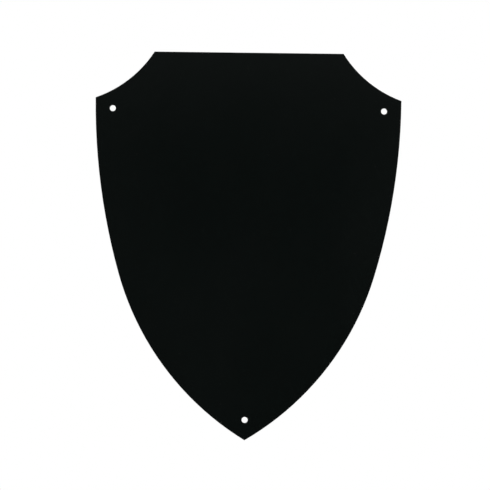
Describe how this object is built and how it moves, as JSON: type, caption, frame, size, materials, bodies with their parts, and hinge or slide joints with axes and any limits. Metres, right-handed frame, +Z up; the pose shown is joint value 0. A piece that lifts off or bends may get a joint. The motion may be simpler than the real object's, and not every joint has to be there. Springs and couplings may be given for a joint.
{
  "type": "shield plaque",
  "caption": "Flat shield-shaped wall plaque: gloss black front sheet on a thin plywood board, black edge strips, scooped upper corners, pointed base and plain screw holes.",
  "frame": {"origin": "middle of the back face, halfway between the top edge and the bottom point, in the plane that lies against the wall", "axes": "+X to the right as seen from the front, +Y through the back into the wall, +Z up; the gloss front faces -Y"},
  "size_m": [0.2004, 0.0044, 0.254],
  "materials": {
    "gloss_black_sheet": "high-gloss black decorative laminate",
    "black_edge": "black edge strip, gloss with fine lengthwise lines",
    "wood_veneer": "pale hardwood veneer, sanded, bare"
  },
  "bodies": {
    "root": {"front_sheet": "gloss_black_sheet", "front_veneer": "wood_veneer", "cross_veneer": "wood_veneer", "back_veneer": "wood_veneer", "top_edge_strip": "black_edge", "left_scoop_strip": "black_edge", "right_scoop_strip": "black_edge", "left_side_strip": "black_edge", "right_side_strip": "black_edge"}
  },
  "joints": []
}
